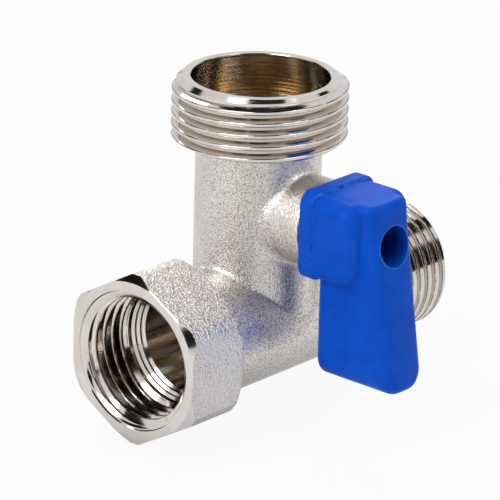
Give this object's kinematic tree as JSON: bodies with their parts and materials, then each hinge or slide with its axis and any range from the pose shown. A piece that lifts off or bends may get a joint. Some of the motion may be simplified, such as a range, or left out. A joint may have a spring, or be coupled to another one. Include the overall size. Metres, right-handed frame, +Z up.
{
  "type": "appliance ball valve",
  "caption": "Nickel-plated tee valve for an appliance hose: hexagon female inlet, male outlet, threaded branch shut by a quarter-turn ball with a blue lever.",
  "frame": {"origin": "middle of the hexagon end's mouth, on the run axis", "axes": "+X along the run from the hexagon end to the male outlet, +Z up the branch, -Y out along the stem to the lever"},
  "size_m": [0.0614, 0.0434, 0.052],
  "materials": {
    "plated_body": "nickel plated, blasted outside, machined bright on the threads and faces",
    "ball": "chrome plated, polished",
    "seat": "smooth PTFE",
    "brass": "turned",
    "o_ring": "satin",
    "blue_plastic": "satin moulded",
    "screw": "zinc plated"
  },
  "bodies": {
    "valve": {"valve_body": "plated_body", "lower_seat": "seat", "upper_seat": "seat", "seat_retainer": "brass", "stem_thrust_washer": "seat"},
    "lever": {"lever_handle": "blue_plastic", "handle_screw": "screw", "stem": "brass", "stem_o_ring_inner": "o_ring", "stem_o_ring_outer": "o_ring", "ball": "ball"}
  },
  "joints": [
    {"name": "lever_turn", "type": "hinge", "parent": "valve", "child": "lever", "pos_m": [0.0272, 0, 0.018], "axis": [0, 1, 0], "range_deg": [0, 90]}
  ]
}
